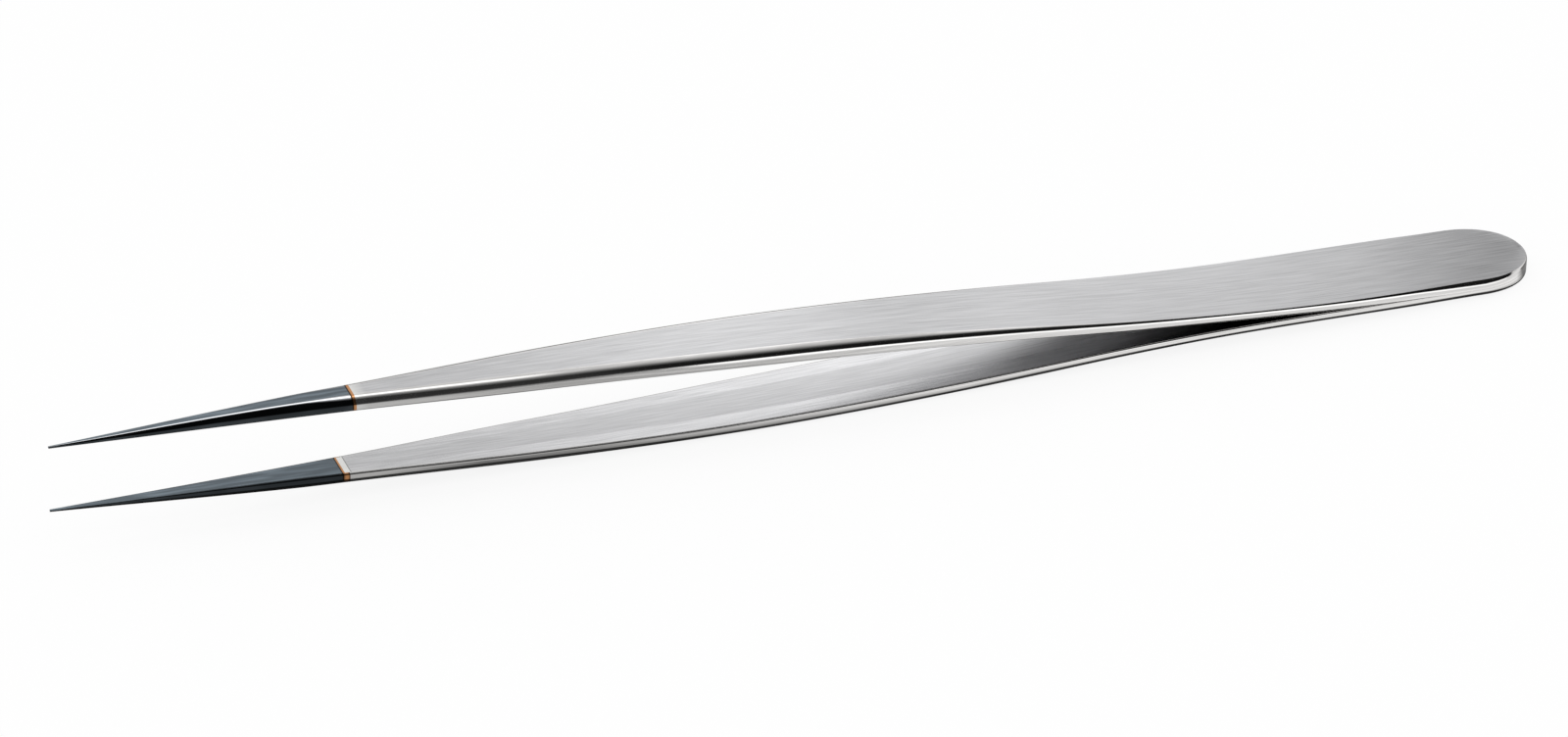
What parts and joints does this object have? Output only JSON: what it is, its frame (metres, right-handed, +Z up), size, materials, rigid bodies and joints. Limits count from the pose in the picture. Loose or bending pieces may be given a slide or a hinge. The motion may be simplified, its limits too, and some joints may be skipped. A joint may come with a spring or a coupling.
{
  "type": "diamond coated tweezers",
  "caption": "Straight needle-point tweezers with bowed, bevelled steel blades welded at a rounded butt and dark hard-coated tips, for picking up small delicate parts.",
  "frame": {"origin": "centre of the bounding box's base: the level that the tweezers lie on, under the middle of their length and width", "axes": "+X from the points to the butt end, +Y across the blades, +Z up from the surface that the tweezers lie on; the blades' middle plane is tipped by 2.52 degrees about Y, points up, as the bowed lower blade makes them lie"},
  "size_m": [0.14, 0.0104, 0.0103],
  "materials": {
    "blade_steel": "satin, brushed lengthwise on the faces and polished on the edges; the last 26.5 mm to each point carry a slate grey hard coating with a thin bronze line at its edge"
  },
  "bodies": {
    "root": {"upper_arm": "blade_steel", "lower_arm": "blade_steel"}
  },
  "joints": []
}
